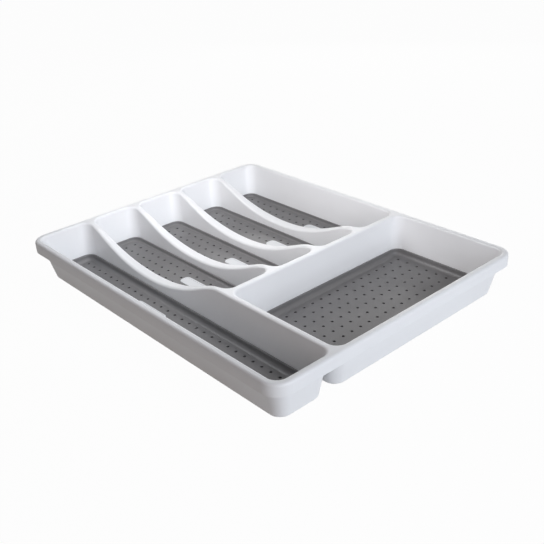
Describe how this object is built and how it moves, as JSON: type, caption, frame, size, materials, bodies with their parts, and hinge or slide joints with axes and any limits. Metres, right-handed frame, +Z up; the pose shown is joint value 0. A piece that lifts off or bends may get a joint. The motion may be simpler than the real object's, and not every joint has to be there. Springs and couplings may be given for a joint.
{
  "type": "cutlery tray",
  "caption": "Moulded drawer tray with a long, a wide and short scooped compartments, each lined with a soft dotted lift-out mat, standing on rubber feet.",
  "frame": {"origin": "on the table under the middle of the tray's outline", "axes": "+X along the front edge to the right, +Y from the wide compartment at the front to the back of the short compartments, +Z up"},
  "size_m": [0.324, 0.406, 0.048],
  "materials": {
    "shell": "white moulded polypropylene with a satin surface",
    "mat": "soft grey elastomer, matt, dotted with small dimples",
    "marker": "white moulded plastic with a satin surface",
    "foot": "light grey rubber, matt"
  },
  "bodies": {
    "tray": {"tray": "shell", "foot_1": "foot", "foot_2": "foot", "foot_3": "foot", "foot_4": "foot", "foot_5": "foot", "foot_6": "foot", "foot_7": "foot", "foot_8": "foot"},
    "mat_long": {"liner_long": "mat", "marker_long": "marker"},
    "mat_short_1": {"liner_short_1": "mat", "marker_short_1": "marker"},
    "mat_short_2": {"liner_short_2": "mat", "marker_short_2": "marker"},
    "mat_short_3": {"liner_short_3": "mat", "marker_short_3": "marker"},
    "mat_short_4": {"liner_short_4": "mat", "marker_short_4": "marker"},
    "mat_wide": {"liner_wide": "mat"}
  },
  "joints": [
    {"name": "lift_long", "type": "slide", "parent": "tray", "child": "mat_long", "axis": [0, 0, 1], "range_m": [0, 0.06]},
    {"name": "lift_short_1", "type": "slide", "parent": "tray", "child": "mat_short_1", "axis": [0, 0, 1], "range_m": [0, 0.06]},
    {"name": "lift_short_2", "type": "slide", "parent": "tray", "child": "mat_short_2", "axis": [0, 0, 1], "range_m": [0, 0.06]},
    {"name": "lift_short_3", "type": "slide", "parent": "tray", "child": "mat_short_3", "axis": [0, 0, 1], "range_m": [0, 0.06]},
    {"name": "lift_short_4", "type": "slide", "parent": "tray", "child": "mat_short_4", "axis": [0, 0, 1], "range_m": [0, 0.06]},
    {"name": "lift_wide", "type": "slide", "parent": "tray", "child": "mat_wide", "axis": [0, 0, 1], "range_m": [0, 0.06]}
  ]
}
